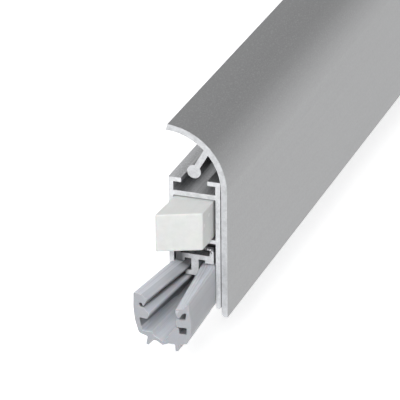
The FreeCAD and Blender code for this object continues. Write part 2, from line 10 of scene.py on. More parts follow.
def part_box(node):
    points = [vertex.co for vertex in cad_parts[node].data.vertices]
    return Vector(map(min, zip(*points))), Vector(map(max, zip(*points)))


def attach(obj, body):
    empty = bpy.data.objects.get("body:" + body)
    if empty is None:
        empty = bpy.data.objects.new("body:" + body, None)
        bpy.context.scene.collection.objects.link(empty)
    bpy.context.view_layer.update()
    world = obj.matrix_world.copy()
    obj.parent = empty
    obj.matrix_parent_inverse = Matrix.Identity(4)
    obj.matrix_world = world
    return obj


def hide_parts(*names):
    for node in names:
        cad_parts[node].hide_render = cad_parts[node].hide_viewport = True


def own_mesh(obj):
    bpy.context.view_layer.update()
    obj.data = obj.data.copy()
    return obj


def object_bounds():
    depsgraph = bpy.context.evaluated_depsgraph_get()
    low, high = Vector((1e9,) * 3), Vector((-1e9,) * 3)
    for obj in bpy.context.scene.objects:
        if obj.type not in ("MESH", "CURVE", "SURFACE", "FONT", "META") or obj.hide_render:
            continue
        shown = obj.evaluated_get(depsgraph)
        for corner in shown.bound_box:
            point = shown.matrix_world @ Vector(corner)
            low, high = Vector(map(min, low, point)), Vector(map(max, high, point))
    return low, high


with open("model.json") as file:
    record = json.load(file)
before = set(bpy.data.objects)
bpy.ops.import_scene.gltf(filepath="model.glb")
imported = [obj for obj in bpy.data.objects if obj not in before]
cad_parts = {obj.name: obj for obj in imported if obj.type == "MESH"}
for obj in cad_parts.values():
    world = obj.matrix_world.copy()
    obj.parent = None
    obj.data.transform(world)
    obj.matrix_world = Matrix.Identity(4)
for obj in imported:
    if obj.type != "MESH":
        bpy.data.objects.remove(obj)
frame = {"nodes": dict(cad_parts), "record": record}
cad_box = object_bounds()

MM_PER_M = 1000

# Camera, in metres and degrees, with its lens in millimetres
CAMERA_PLACE = (-0.7955, -0.2369, 0.2941)
CAMERA_TURN = (65.435, 0.483, -70.229)
CAMERA_LENS = 279.56
CAMERA_CLIP = 0.05

# Floor: gap below the object, size, colour and how much it glows where the camera sees it
FLOOR_GAP = 0.014
FLOOR_SIZE = 12.0
FLOOR_COLOUR = (0.86, 0.86, 0.86)
FLOOR_LIFT = 0.65

# Light from the sky: direction, sharpness and strength of each broad lobe
SKY_LOBES = (
    ((-1.0, 0.0, 0.0), 2.0, 0.16),
    ((1.0, 0.0, 0.0), 2.0, 0.20),
    ((0.0, -1.0, 0.0), 2.0, 0.11),
    ((0.0, 1.0, 0.0), 2.0, 0.20),
    ((0.0, 0.0, 1.0), 2.0, 0.50),
    ((-0.7, 0.5, 0.5), 6.0, 0.24),
)

# Grey card that only mirrored rays see, beyond the far end: place, aim, width, height, brightness
CARD_PLACE = (1.3, 0.0, 0.78)
CARD_AIM = (0.0, 0.0, 0.0)
CARD_WIDTH = 2.4
CARD_HEIGHT = 1.15
CARD_GLOW = 0.58

# Lamps: name, place, size and power; all aim at this height at the near end
LAMP_AIM_HEIGHT = -0.02
LAMPS = (
    ("key", (-1.14, -0.23, 0.62), 0.4, 7.0),
    ("above", (-0.5, 0.0, 1.25), 0.6, 2.8),
)

# Finishes, as linear colours
COVER_GREY = (0.315, 0.317, 0.322)
HOUSING_GREY = (0.60, 0.605, 0.62)
COVER_CUT = (0.72, 0.73, 0.75)
HOUSING_CUT = (0.86, 0.87, 0.89)
# The carrier's cut is paler than the housing's as painted light, making up for the plunger's shadow
# on it
CARRIER_CUT_PAINTED_PALER = (0.89, 0.895, 0.91)
PLASTIC_WHITE = (0.86, 0.875, 0.86)
RUBBER_GREY = (0.555, 0.572, 0.612)
ZINC = (0.62, 0.63, 0.64)
BRIGHT = (0.72, 0.72, 0.73)
DARK = (0.20, 0.20, 0.21)
# Dark of the carrier's saw marks and of its painted shade and shadow
MARK_AND_SHADE_DARK = (0.06, 0.06, 0.065)
WHITE = (1.0, 1.0, 1.0)

# In every finish a scale gives the noise's cells per metre along X, Y and Z, stops are pairs of a
# value and its tone, and a bump is its strength and its depth in metres
NOISE_ROUGHNESS = 0.55
END_FACE_NORMAL = 0.92
OCCLUSION_SAMPLES = 8

# Extruded aluminium
DRAWN_LINES = (24, 5200, 5200)
DIE_LINES = (5, 1300, 1300)
DIE_STOPS = ((0.36, 0.0), (0.5, 0.5), (0.64, 1.0))
BROAD_BANDS = (9, 380, 380)
SPECKS = (2600, 2600, 2600)
SPECK_STOPS = ((0.3, 0.9), (0.7, 1.0))
BLOTCHES = (700, 700, 700)
BLOTCH_STOPS = ((0.35, 0.84), (0.6, 1.0))
METAL = 0.8
METAL_LOST_AT_CUT = 0.45
GRAIN_ROUGHNESS = 0.12
CUT_ROUGHNESS = 0.16
METAL_BUMP = (0.12, 0.00003)

# Painted glints on the extrusions' upward faces: strength, the speck values over which they rise,
# and how sharply they fall off as a face turns away from upward
PAINTED_GLINT = 0.35
PAINTED_GLINT_RANGE = (0.56, 0.74)
PAINTED_GLINT_FALL = 2.0

# Marks of the saw on the carrier's near end, thickened upward as painted shade under the plunger:
# reach, and the heights between which they thicken
CARRIER_MARKS_AND_SHADE = (0.0012, -0.0262, -0.0232)
MARK_RAGS = (2300, 2300, 2300)
PAINTED_SHADE_RISE = 0.34
MARK_RANGE = (0.66, 0.76)

# Painted shadow of the plunger, low on the carrier's door side: where it ends and is full, in Y and
# in Z, and strength
PLUNGER_SHADOW_Y = (-0.0056, -0.0036)
PLUNGER_SHADOW_Z = (-0.0240, -0.0253)
PLUNGER_SHADOW_STRENGTH = 0.9

# Moulded plastic
PLASTIC_CLOUD = (160, 160, 160)
PLASTIC_CLOUD_STOPS = ((0.3, 0.965), (0.7, 1.0))
PLASTIC_FLOW = (60, 700, 700)
PLASTIC_FLOW_STOPS = ((0.3, 0.95), (0.7, 1.0))
PLASTIC_FINE = (3500, 3500, 3500)
PLASTIC_ROUGHNESS = 0.42
PLASTIC_ROUGHNESS_GRAIN = 0.1
PLASTIC_BUMP = (0.1, 0.00003)
PLASTIC_GLOW = 0.15
PLASTIC_GLOW_DEPTH = 0.0015
# Painted shade of the plastic in hollows and beside nearby parts: reach and stops
PLASTIC_PAINTED_SHADE_REACH = 0.006
PLASTIC_PAINTED_SHADE_STOPS = ((0.35, 0.6), (0.9, 1.0))

# Moulding marks on the plunger's sides: (x, z) places, radius and tone
PLUNGER_MARKS = ((-0.17395, -0.01466), (-0.17060, -0.01336))
MARK_RADIUS = 0.00048
MARK_TONE = (1.12, 1.12, 1.12)

# Soft rubber: noise over its drawn lines has cells per metre along the length and round the section
RUBBER_LINES = (16, 3000, 0)
RUBBER_BANDS = (5, 500, 0)
RUBBER_BAND_DEPTH = 0.16
RUBBER_CLOUD = (150, 300, 300)
RUBBER_CLOUD_DEPTH = 0.1
RUBBER_FINE = (4200, 4200, 4200)
RUBBER_CUT_STOPS = ((0.3, 0.80), (0.7, 0.88))
LINE_DEPTH = 0.1
LIP_LINE_DEPTH = 0.45
# Painted light where a corner's kind is above 0, and painted shade in narrow hollows and where the
# kind is below 0
PAINTED_LIGHT_DEPTH = 0.2
PAINTED_HOLLOW_SHADE_REACH = 0.0018
PAINTED_HOLLOW_SHADE_STOPS = ((0.15, 0.6), (0.55, 1.0))
PAINTED_SLOT_SHADE = -0.62
DARKEST_TONE = 0.1
RUBBER_ROUGHNESS = 0.40
RUBBER_ROUGHNESS_GRAIN = 0.14
RUBBER_BUMP = (0.2, 0.0001)
RUBBER_GLOW = 0.2
RUBBER_GLOW_DEPTH = 0.001

# Plated steel
STEEL_LINES = (900, 4000, 4000)
STEEL_CLOUD = (300, 300, 300)
STEEL_CLOUD_STOPS = ((0.3, 0.88), (0.7, 1.03))
STEEL_ROUGHNESS_GRAIN = 0.15
STEEL_BUMP = (0.1, 0.00002)

# Largest share of a side that the rounding of one of its corners takes
ROUNDED_SHARE = 0.49

# Section frame of the object, in millimetres: w out from the housing's back, h above its lower edge
STAND_OFF = 0.5
SCREW_HEIGHT = 39.5
HALF_LENGTH = 167.5
AXIS = 6.5

# Rubber seal: how far its free ends reach past the housing, are cut askew and shift to the door
# side, how softly they begin to spread, and how the rubber bulges just outside the housing's mouth
RUBBER_REACH = 19.0
RUBBER_SKEW = 0.167
RUBBER_SHIFT = 1.42
FLARE_EASE = 0.12
MOUTH_BULGE = 0.6
MOUTH_RUN = 0.9

# Painted shade of the plunger's shadow on the door side's lip close to the mouth: depth, run along
# the length, and lowest height
MOUTH_SHADE = 1.1
MOUTH_SHADE_RUN = 2.6
MOUTH_SHADE_HEIGHT = 9.5

# Reaches of the rings that the rubber is lofted through, and the softening of its cut edges
RUBBER_RINGS = (
    -24, -12, -6, -3, -1.5, -0.5, 0, 0.4, 0.8, 1.3, 2, 3,
    4.5, 6, 7.25, 8.5, 9.75, 11, 12.25, 13.5, 14.75, 16, 17.25, 18.2,
)
EDGE_SOFT = 0.07

# Angles, in degrees, beyond which an edge stays sharp
RUBBER_SHARP = 35
SPRING_SHARP = 60

# Ridges on the lips: height on the door side and on the cover side, and rounding
RIDGE_HEIGHTS = (0.05, 0.16)
RIDGE_ROUND = 0.03

# Return spring: radius of its coil, thickness of its wire, turns, steps in a turn, and sides of the
# wire
SPRING_RADIUS = 2.3
SPRING_WIRE = 0.7
SPRING_TURNS = 4.5
SPRING_STEPS = 36
SPRING_SIDES = 12

# Half section of the seal from the floor's valley round to the bump below it. Each corner is
# (offset from the middle, h) in the housing, at the door side's free end and at the cover side's
# free end, then its rounding and the steps in that rounding.
RUBBER_CORNERS = (
    ((0.0, -0.2), (0.0, -0.65), (0.0, -0.65), 0.3, 2),
    ((0.6, 0.0), (1.45, 0.0), (0.5, -0.5), 0.3, 2),
    ((1.6, 0.3), (2.0, 0.2), (1.6, 1.4), 0.3, 2),
    ((2.3, 1.6), (2.75, 1.15), (3.4, 3.85), 0.3, 3),
    ((2.8, 1.7), (3.6, 1.1), (4.5, 3.9), 0.1, 2),
    ((3.1, 1.75), (5.0, 0.95), (4.62, 2.5), 0.2, 2),
    ((4.2, 1.9), (5.4, 1.0), (6.45, 2.75), 0.2, 3),
    ((4.2, 2.1), (5.57, 1.8), (6.45, 2.9), 0.02, 1),
    ((4.2, 2.2), (5.64, 2.2), (6.45, 3.0), 0.02, 1),
    ((4.2, 6.45), (6.05, 4.2), (6.5, 4.3), 0.15, 2),
    ((1.35, 6.4), (3.85, 4.2), (3.7, 3.95), 0.8, 6),
    ((1.35, 7.8), (3.5, 5.7), (3.7, 5.95), 0.55, 6),
    ((2.3, 7.8), (4.9, 6.95), (4.7, 6.15), 0.2, 2),
    ((4.2, 7.4), (5.85, 7.3), (6.2, 6.6), 0.15, 2),
    ((4.25, 10.1), (6.15, 8.05), (6.4, 8.25), 0.2, 4),
    ((2.8, 10.15), (5.45, 8.1), (5.5, 7.8), 0.2, 3),
    ((2.3, 9.5), (5.02, 7.25), (4.55, 6.4), 0.12, 3),
    ((1.2, 9.9), (4.15, 8.75), (3.6, 7.4), 0.3, 5),
    ((1.2, 10.7), (3.85, 9.4), (3.55, 8.5), 0.35, 5),
    ((2.9, 11.35), (5.7, 10.3), (5.5, 9.15), 0.4, 4),
    ((5.05, 11.6), (7.62, 10.5), (6.95, 10.75), 0.7, 6),
    ((5.05, 6.0), (7.72, 6.5), (7.8, 6.0), 8.0, 6),
    ((5.0, 3.0), (7.35, 3.4), (7.75, 2.9), 4.0, 6),
    ((3.9, -0.2), (6.35, 0.15), (6.6, 0.2), 1.2, 8),
    ((2.85, -0.4), (3.97, -0.3), (4.5, -0.55), 0.2, 3),
    ((2.9, -2.1), (4.4, -2.4), (4.17, -2.3), 0.12, 2),
    ((2.35, -2.1), (3.77, -2.5), (3.45, -2.4), 0.12, 2),
    ((2.2, -0.75), (2.85, -0.95), (3.35, -0.7), 0.3, 4),
    ((1.2, -0.7), (1.6, -0.85), (1.6, -0.85), 0.6, 4),
    ((0.0, -1.35), (0.0, -1.62), (0.0, -1.62), 0.3, 4),
)

# Drawn ridges on top of the lips: after which corner, the stretch's start and end as shares, how
# many, and their kind on the door side and on the cover side, which is painted light and deeper
# lines as below
RIDGED = {18: (0.3, 0.95, 3, (0.0, 1.0)), 19: (0.1, 0.55, 4, (1.0, 1.0))}

# Kind of each corner on the door side and on the cover side: below 0 it is painted shade under the
# ribs, in the pocket, in the gaps under the lips and on the cover side's outer face; above 0 it is
# painted light on the floor, the ribs' noses and the lips' tops, where the drawn lines also show
# deeper
PAINTED_SHADE_LIGHT_AND_LINES = (
    {0: 0.6, 1: 0.8, 2: 0.8, 3: 0.8, 4: 0.8, 5: 0.8, 6: 0.8, 7: 0.5, 8: -0.8, 9: -1.0, 10: -0.7,
     11: 1.0, 12: 0.1, 13: -0.9, 14: -1.0, 15: -1.0, 16: -1.0, 17: -0.9, 19: 0.9, 20: 1.0},
    {0: 0.6, 1: 0.8, 2: 0.8, 3: 0.6, 4: -0.8, 5: -0.9, 6: -0.8, 7: -0.8, 8: -0.8, 9: -0.8, 10: 0.5,
     11: 0.5, 12: -0.5, 13: -0.9, 14: -0.9, 15: -0.9, 17: 0.6, 18: 0.8, 21: -0.17, 22: -0.2},
)


# Node helpers
class Tree:
    """A material's or world's node tree, with short calls for nodes and links."""

    def __init__(self, owner):
        owner.use_nodes = True
        self.nodes = owner.node_tree.nodes
        self.links = owner.node_tree.links
        self.nodes.clear()

    def add(self, kind, settings=None, **inputs):
        """New shader node, with its own settings and the values or links of its inputs."""
        node = self.nodes.new("ShaderNode" + kind)
        for name, value in (settings or {}).items():
            setattr(node, name, value)
        for name, value in inputs.items():
            self.put(node, name.replace("_", " "), value)
        return node

    def put(self, node, socket, value):
        """Link or set an input, given by its name or its number as text."""
        target = node.inputs[int(socket)] if socket.isdigit() else node.inputs[socket]
        if isinstance(value, bpy.types.NodeSocket):
            self.links.new(value, target)
        elif isinstance(value, tuple) and len(value) == 3 and target.type == "RGBA":
            target.default_value = (*value, 1.0)
        else:
            target.default_value = value

    def math(self, operation, *values):
        """Output of a math node over its values, in order."""
        node = self.add("Math", {"operation": operation})
        for i, value in enumerate(values):
            self.put(node, str(i), value)
        return node.outputs[0]

    def ramp(self, factor, stops):
        """Grey tone that follows a factor through stops of place and tone."""
        node = self.add("ValToRGB")
        elements = node.color_ramp.elements
        while len(elements) < len(stops):
            elements.new(0.5)
        for element, (place, tone) in zip(elements, stops):
            element.position = place
            element.color = (tone, tone, tone, 1.0)
        self.links.new(factor, node.inputs[0])
        return node.outputs[0]

    def mix(self, factor, a, b, kind="MIX"):
        """Colour from a to b by a factor, or blended in another way."""
        node = self.add("Mix", {"data_type": "RGBA", "blend_type": kind})
        self.put(node, "0", factor)
        self.put(node, "6", a)
        self.put(node, "7", b)
        return node.outputs[2]

    def multiply(self, a, b):
        """Product of two colours or tones."""
        return self.mix(1.0, a, b, "MULTIPLY")

    def swing(self, value, depth, base):
        """Base plus how far a noise value lies from its middle, times a depth."""
        return self.math("MULTIPLY_ADD", self.math("SUBTRACT", value, 0.5), depth, base)

    def rise(self, value, span):
        """0 to 1 as a value crosses a span, held at both ends."""
        low, high = span
        return self.add("MapRange", Value=value, From_Min=low, From_Max=high).outputs[0]

    def place(self, scale):
        """Object coordinates stretched by a scale for each axis."""
        coordinates = self.add("TexCoord")
        return self.add("Mapping", Vector=coordinates.outputs["Object"], Scale=scale).outputs[0]

    def noise(self, scale, detail):
        """Noise through the object, stretched by a scale for each axis."""
        node = self.add("TexNoise", Vector=self.place(scale), Scale=1.0, Detail=detail)
        self.put(node, "Roughness", NOISE_ROUGHNESS)
        return node.outputs["Fac"]

    def noise_on(self, vector, scale, detail):
        """Noise over a vector of the mesh's own, stretched by a scale for each axis."""
        stretched = self.add("VectorMath", {"operation": "MULTIPLY"})
        self.put(stretched, "0", vector)
        stretched.inputs[1].default_value = scale
        node = self.add("TexNoise", Vector=stretched.outputs[0], Scale=1.0, Detail=detail)
        return node.outputs["Fac"]

    def end_face(self):
        """1 on faces cut square to the length, 0 elsewhere."""
        coordinates = self.add("TexCoord")
        split = self.add("SeparateXYZ", Vector=coordinates.outputs["Normal"])
        across = self.math("ABSOLUTE", split.outputs["X"])
        return self.math("GREATER_THAN", across, END_FACE_NORMAL)

    def soiled(self, reach, low, high):
        """Ragged dark saw marks within a reach of the near end, thickened upward between two
        heights as painted shade under the plunger, with the plunger's painted shadow low on the
        door side.
        """
        coordinates = self.add("TexCoord")
        split = self.add("SeparateXYZ", Vector=coordinates.outputs["Object"])
        near = self.math("LESS_THAN", split.outputs["X"], -HALF_LENGTH / MM_PER_M + reach)
        height = self.rise(split.outputs["Z"], (low, high))
        ragged = self.math("MULTIPLY_ADD", height, PAINTED_SHADE_RISE, self.noise(MARK_RAGS, detail=4.0))
        marks = self.rise(ragged, MARK_RANGE)
        aside = self.rise(split.outputs["Y"], PLUNGER_SHADOW_Y)
        down = self.rise(split.outputs["Z"], PLUNGER_SHADOW_Z)
        painted_shadow = self.math("MULTIPLY", self.math("MULTIPLY", aside, down), PLUNGER_SHADOW_STRENGTH)
        return self.math("MULTIPLY", near, self.math("MAXIMUM", marks, painted_shadow))

    def upward(self):
        """1 on faces that look straight up, falling to 0 on upright faces."""
        coordinates = self.add("TexCoord")
        split = self.add("SeparateXYZ", Vector=coordinates.outputs["Normal"])
        return self.math("POWER", self.math("MAXIMUM", split.outputs["Z"], 0.0), PAINTED_GLINT_FALL)

    def occlusion(self, distance, stops):
        """Painted shade: a darker tone in hollows that are narrower than a distance."""
        node = self.add("AmbientOcclusion", {"samples": OCCLUSION_SAMPLES}, Distance=distance)
        return self.ramp(node.outputs["AO"], stops)

    def discs(self, centres):
        """1 within small discs round the given (x, z) places, seen along Y."""
        coordinates = self.add("TexCoord")
        flat = self.add("VectorMath", {"operation": "MULTIPLY"})
        self.put(flat, "0", coordinates.outputs["Object"])
        flat.inputs[1].default_value = (1.0, 0.0, 1.0)
        shown = 0.0
        for x, z in centres:
            apart = self.add("VectorMath", {"operation": "DISTANCE"})
            self.put(apart, "0", flat.outputs[0])
            apart.inputs[1].default_value = (x, 0.0, z)
            inside = self.math("LESS_THAN", apart.outputs["Value"], MARK_RADIUS)
            shown = self.math("MAXIMUM", inside, shown)
        return shown

    def bump(self, height, strength, depth):
        """Normal of a surface with this height."""
        node = self.add("Bump", Strength=strength, Distance=depth, Height=height)
        return node.outputs[0]

    def dot(self, vector, direction):
        """Dot product of a vector and a fixed direction."""
        node = self.add("VectorMath", {"operation": "DOT_PRODUCT"})
        self.put(node, "0", vector)
        node.inputs[1].default_value = direction
        return node.outputs["Value"]

    def gray(self, value):
        """Grey colour of a value."""
        node = self.add("CombineColor", Red=value, Green=value, Blue=value)
        return node.outputs[0]

    def background_ray(self):
        """1 for rays that show the background: from the camera, mirrored or through glass."""
        path = self.add("LightPath")
        shown = self.math("MAXIMUM", path.outputs["Is Camera Ray"], path.outputs["Is Glossy Ray"])
        return self.math("MAXIMUM", shown, path.outputs["Is Transmission Ray"])

    def surface(self, shader, kind="OutputMaterial"):
        """Make the shader the surface of the material, or of the world."""
        self.add(kind, Surface=shader)


def extruded_aluminium(name, colour, cut, roughness, grain, streaks, speckle, marks_and_shade=None):
    """Anodised extrusion: drawn lines along the length, painted glints on upward faces, and paler
    sawn ends.
    """
    material = bpy.data.materials.new(name)
    tree = Tree(material)
    lines = tree.noise(DRAWN_LINES, detail=2.0)
    die_lines = tree.ramp(tree.noise(DIE_LINES, detail=1.0), DIE_STOPS)
    broad = tree.noise(BROAD_BANDS, detail=2.0)
    speck = tree.noise(SPECKS, detail=2.0)
    blotch = tree.noise(BLOTCHES, detail=3.0)
    ends = tree.end_face()
    tone = tree.swing(lines, grain, 1.0)
    tone = tree.swing(die_lines, streaks, tone)
    tone = tree.swing(broad, streaks, tone)
    tone = tree.swing(speck, speckle, tone)
    # Painted glints: brighter specks on upward faces
    painted_glints = tree.math("MULTIPLY", tree.rise(speck, PAINTED_GLINT_RANGE), tree.upward())
    tone = tree.math("MULTIPLY_ADD", painted_glints, PAINTED_GLINT, tone)
    body = tree.multiply(colour, tree.gray(tone))
    worn = tree.multiply(tree.ramp(speck, SPECK_STOPS), tree.ramp(blotch, BLOTCH_STOPS))
    base = tree.mix(ends, body, tree.multiply(cut, worn))
    # Saw marks with painted shade under the plunger, and the plunger's painted shadow
    if marks_and_shade:
        base = tree.mix(tree.soiled(*marks_and_shade), base, MARK_AND_SHADE_DARK)
    rough = tree.swing(lines, GRAIN_ROUGHNESS, roughness)
    height = tree.math("MULTIPLY_ADD", speck, ends, lines)
    shader = tree.add(
        "BsdfPrincipled",
        Base_Color=base,
        Metallic=tree.math("MULTIPLY_ADD", ends, -METAL_LOST_AT_CUT, METAL),
        Roughness=tree.math("MULTIPLY_ADD", ends, CUT_ROUGHNESS, rough),
        Normal=tree.bump(height, *METAL_BUMP),
    )
    tree.surface(shader.outputs[0])
    return material


def moulded_plastic(name, colour, marks=()):
    """Matt moulded plastic: a faint flow pattern along the length, round marks on its sides, and
    painted shade in hollows and beside nearby parts.
    """
    material = bpy.data.materials.new(name)
    tree = Tree(material)
    cloud = tree.ramp(tree.noise(PLASTIC_CLOUD, detail=2.0), PLASTIC_CLOUD_STOPS)
    flow = tree.ramp(tree.noise(PLASTIC_FLOW, detail=2.0), PLASTIC_FLOW_STOPS)
    fine = tree.noise(PLASTIC_FINE, detail=2.0)
    tone = tree.multiply(cloud, flow)
    if marks:
        tone = tree.mix(tree.discs(marks), tone, MARK_TONE)
    # Painted shade in hollows and beside nearby parts
    shade = tree.occlusion(PLASTIC_PAINTED_SHADE_REACH, PLASTIC_PAINTED_SHADE_STOPS)
    shader = tree.add(
        "BsdfPrincipled",
        Base_Color=tree.multiply(tree.multiply(colour, tone), shade),
        Roughness=tree.math("MULTIPLY_ADD", fine, PLASTIC_ROUGHNESS_GRAIN, PLASTIC_ROUGHNESS),
        Normal=tree.bump(fine, *PLASTIC_BUMP),
        Subsurface_Weight=PLASTIC_GLOW,
        Subsurface_Scale=PLASTIC_GLOW_DEPTH,
    )
    tree.surface(shader.outputs[0])
    return material


def soft_rubber(name, colour):
    """Semi-matt rubber: drawn lines along the length, deeper on the pale lips, dull cut ends,
    painted light where a corner's kind is above 0, and painted shade in narrow hollows and where it
    is below 0.
    """
    material = bpy.data.materials.new(name)
    tree = Tree(material)
    drawn = tree.add("Attribute", {"attribute_name": "drawn"}).outputs["Vector"]
    kind = tree.add("SeparateXYZ", Vector=drawn).outputs["Z"]
    lips = tree.math("MAXIMUM", kind, 0.0)
    painted_slot_shade = tree.math("MAXIMUM", tree.math("MULTIPLY", kind, -1.0), 0.0)
    lines = tree.noise_on(drawn, RUBBER_LINES, detail=1.0)
    bands = tree.noise_on(drawn, RUBBER_BANDS, detail=1.0)
    cloud = tree.noise(RUBBER_CLOUD, detail=2.0)
    fine = tree.noise(RUBBER_FINE, detail=2.0)
    ends = tree.end_face()
    ribbed = tree.math("MULTIPLY_ADD", lips, LIP_LINE_DEPTH, LINE_DEPTH)
    mottle_and_painted_light = tree.swing(lines, ribbed, 1.0)
    mottle_and_painted_light = tree.swing(bands, RUBBER_BAND_DEPTH, mottle_and_painted_light)
    mottle_and_painted_light = tree.swing(cloud, RUBBER_CLOUD_DEPTH, mottle_and_painted_light)
    # Painted light where the kind is above 0
    mottle_and_painted_light = tree.math("MULTIPLY_ADD", lips, PAINTED_LIGHT_DEPTH, mottle_and_painted_light)
    # Painted shade: darker in narrow hollows and where the kind is below 0
    shade = tree.math("MULTIPLY_ADD", painted_slot_shade, PAINTED_SLOT_SHADE, tree.occlusion(PAINTED_HOLLOW_SHADE_REACH, PAINTED_HOLLOW_SHADE_STOPS))
    tone = tree.math("MULTIPLY", mottle_and_painted_light, tree.math("MAXIMUM", shade, DARKEST_TONE))
    body = tree.multiply(colour, tree.gray(tone))
    cut = tree.multiply(colour, tree.ramp(fine, RUBBER_CUT_STOPS))
    height = tree.mix(ends, tree.gray(tree.math("MULTIPLY", lines, ribbed)), fine)
    shader = tree.add(
        "BsdfPrincipled",
        Base_Color=tree.mix(ends, body, cut),
        Roughness=tree.math("MULTIPLY_ADD", fine, RUBBER_ROUGHNESS_GRAIN, RUBBER_ROUGHNESS),
        Normal=tree.bump(height, *RUBBER_BUMP),
        Subsurface_Weight=RUBBER_GLOW,
        Subsurface_Scale=RUBBER_GLOW_DEPTH,
    )
    tree.surface(shader.outputs[0])
    return material


def plated_steel(name, colour, roughness):
    """Plated or drawn steel with fine scratches."""
    material = bpy.data.materials.new(name)
    tree = Tree(material)
    lines = tree.noise(STEEL_LINES, detail=3.0)
    cloud = tree.ramp(tree.noise(STEEL_CLOUD, detail=2.0), STEEL_CLOUD_STOPS)
    shader = tree.add(
        "BsdfPrincipled",
        Base_Color=tree.multiply(colour, cloud),
        Metallic=1.0,
        Roughness=tree.math("MULTIPLY_ADD", lines, STEEL_ROUGHNESS_GRAIN, roughness),
        Normal=tree.bump(lines, *STEEL_BUMP),
    )
    tree.surface(shader.outputs[0])
    return material


# Finish of each material slot of the record
finishes = {
    "satin_aluminium": extruded_aluminium(
        "satin_cover", COVER_GREY, COVER_CUT,
        roughness=0.40, grain=0.10, streaks=0.02, speckle=0.30,
    ),
    "anodised_aluminium": extruded_aluminium(
        "matt_extrusion", HOUSING_GREY, HOUSING_CUT,
        roughness=0.36, grain=0.3, streaks=0.22, speckle=0.2,
    ),
    "white_plastic": moulded_plastic("white_plastic", PLASTIC_WHITE),
    "grey_rubber": soft_rubber("grey_rubber", RUBBER_GREY),
    "zinc_steel": plated_steel("zinc_steel", ZINC, roughness=0.28),
    "bright_steel": plated_steel("bright_steel", BRIGHT, roughness=0.2),
    "dark_steel": plated_steel("dark_steel", DARK, roughness=0.3),
}

# Finishes that only one node has
own_finishes = {
    "carrier_profile": extruded_aluminium(
        "matt_carrier", HOUSING_GREY, CARRIER_CUT_PAINTED_PALER,
        roughness=0.36, grain=0.3, streaks=0.15, speckle=0.2, marks_and_shade=CARRIER_MARKS_AND_SHADE,
    ),
    "plunger": moulded_plastic("plunger_plastic", PLASTIC_WHITE, PLUNGER_MARKS),
}

for part in frame["record"]["subparts"]:
    node = frame["nodes"][part["node"]]
    node.data.materials.clear()
    node.data.materials.append(own_finishes.get(part["node"]) or finishes[part["material_slot"]])


# Meshes
def point(x, w, h):
    """A place of the section frame, in millimetres, as a point of the model in metres."""
    return Vector((x, -w - STAND_OFF, h - SCREW_HEIGHT)) / MM_PER_M


def between(a, b, share):
    """The point a share of the way from one to the other."""
    return tuple(p + (q - p) * share for p, q in zip(a, b))


def rounded(corners):
    """Points of a closed outline of corners that start with w, h, radius and steps."""
    points = []
    for i, (w, h, radius, steps, *_) in enumerate(corners):
        corner = Vector((w, h))
        before = Vector(corners[i - 1][:2]) - corner
        after = Vector(corners[(i + 1) % len(corners)][:2]) - corner
        half = before.angle(after) / 2
        room = ROUNDED_SHARE * min(before.length, after.length)
        back = min(radius / math.tan(half), room)
        before.normalize()
        after.normalize()
        for step in range(steps + 1):
            share = step / steps
            start = corner + before * back
            end = corner + after * back
            rest = 1 - share
            points.append(start * rest**2 + corner * 2 * share * rest + end * share**2)
    return points


def shell(name, rings, slot, body, sharp):
    """Closed mesh through rings of points, with both ends capped and edges sharp past an angle."""
    count = len(rings[0])
    faces = []
    for r in range(len(rings) - 1):
        for i in range(count):
            j = (i + 1) % count
            faces.append((r * count + i, r * count + j, (r + 1) * count + j, (r + 1) * count + i))
    for first, ring in ((0, rings[0]), ((len(rings) - 1) * count, rings[-1])):
        faces += [tuple(first + i for i in triangle) for triangle in tessellate_polygon([ring])]
    mesh = bpy.data.meshes.new(name)
    mesh.from_pydata([p for ring in rings for p in ring], [], faces)
    build = bmesh.new()
    build.from_mesh(mesh)
    bmesh.ops.recalc_face_normals(build, faces=build.faces)
    build.to_mesh(mesh)
    build.free()
    mesh.shade_smooth()
    mesh.set_sharp_from_angle(angle=math.radians(sharp))
    mesh.materials.append(finishes[slot])
    piece = bpy.data.objects.new(name, mesh)
    bpy.context.scene.collection.objects.link(piece)
    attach(piece, body)
    return piece


# Rubber seal
def flare(reach):
    """0 inside the housing, rising smoothly past its mouth to 1 at the free end."""
    share = reach / RUBBER_REACH
    top = math.hypot(1, FLARE_EASE) + 1
    return (math.hypot(share, FLARE_EASE) + share) / top


def rubber_side(reach, side):
    """Corners of the door side (0) or cover side (1) at this reach past the housing.

    Each is (w, h, radius, steps, kind).
    """
    sign = 2 * side - 1
    spread = flare(reach)
    bulge = MOUTH_BULGE * (1 - math.exp(-max(reach, 0) / MOUTH_RUN)) * (1 - spread)
    middle = AXIS - spread * RUBBER_SHIFT
    widest = max(row[0][0] for row in RUBBER_CORNERS)
    corners = []
    for i, row in enumerate(RUBBER_CORNERS):
        offset, h = between(row[0], row[1 + side], spread)
        offset += bulge * row[0][0] / widest
        corners.append((middle + sign * offset, h, row[3], row[4], PAINTED_SHADE_LIGHT_AND_LINES[side].get(i, 0.0)))
    for i in sorted(RIDGED, reverse=True):
        corners[i + 1:i + 1] = ridges(corners[i][:2], corners[i + 1][:2], side, *RIDGED[i])
    return corners


def ridges(start, end, side, first, last, count, kinds):
    """Corners of small ridges on the straight stretch between two corners of the section."""
    outward = Vector((start[1] - end[1], end[0] - start[0])).normalized() * (2 * side - 1)
    rise = outward * RIDGE_HEIGHTS[side]
    corners = []
    for i in range(2 * count + 1):
        w, h = between(start, end, first + (last - first) * i / (2 * count))
        lift = rise * (i % 2)
        corners.append((w + lift.x, h + lift.y, RIDGE_ROUND, 1, kinds[side]))
    return corners


def rubber_corners(reach):
    """Corners of the whole section at this reach past the housing."""
    return rubber_side(reach, 0) + rubber_side(reach, 1)[-2:0:-1]


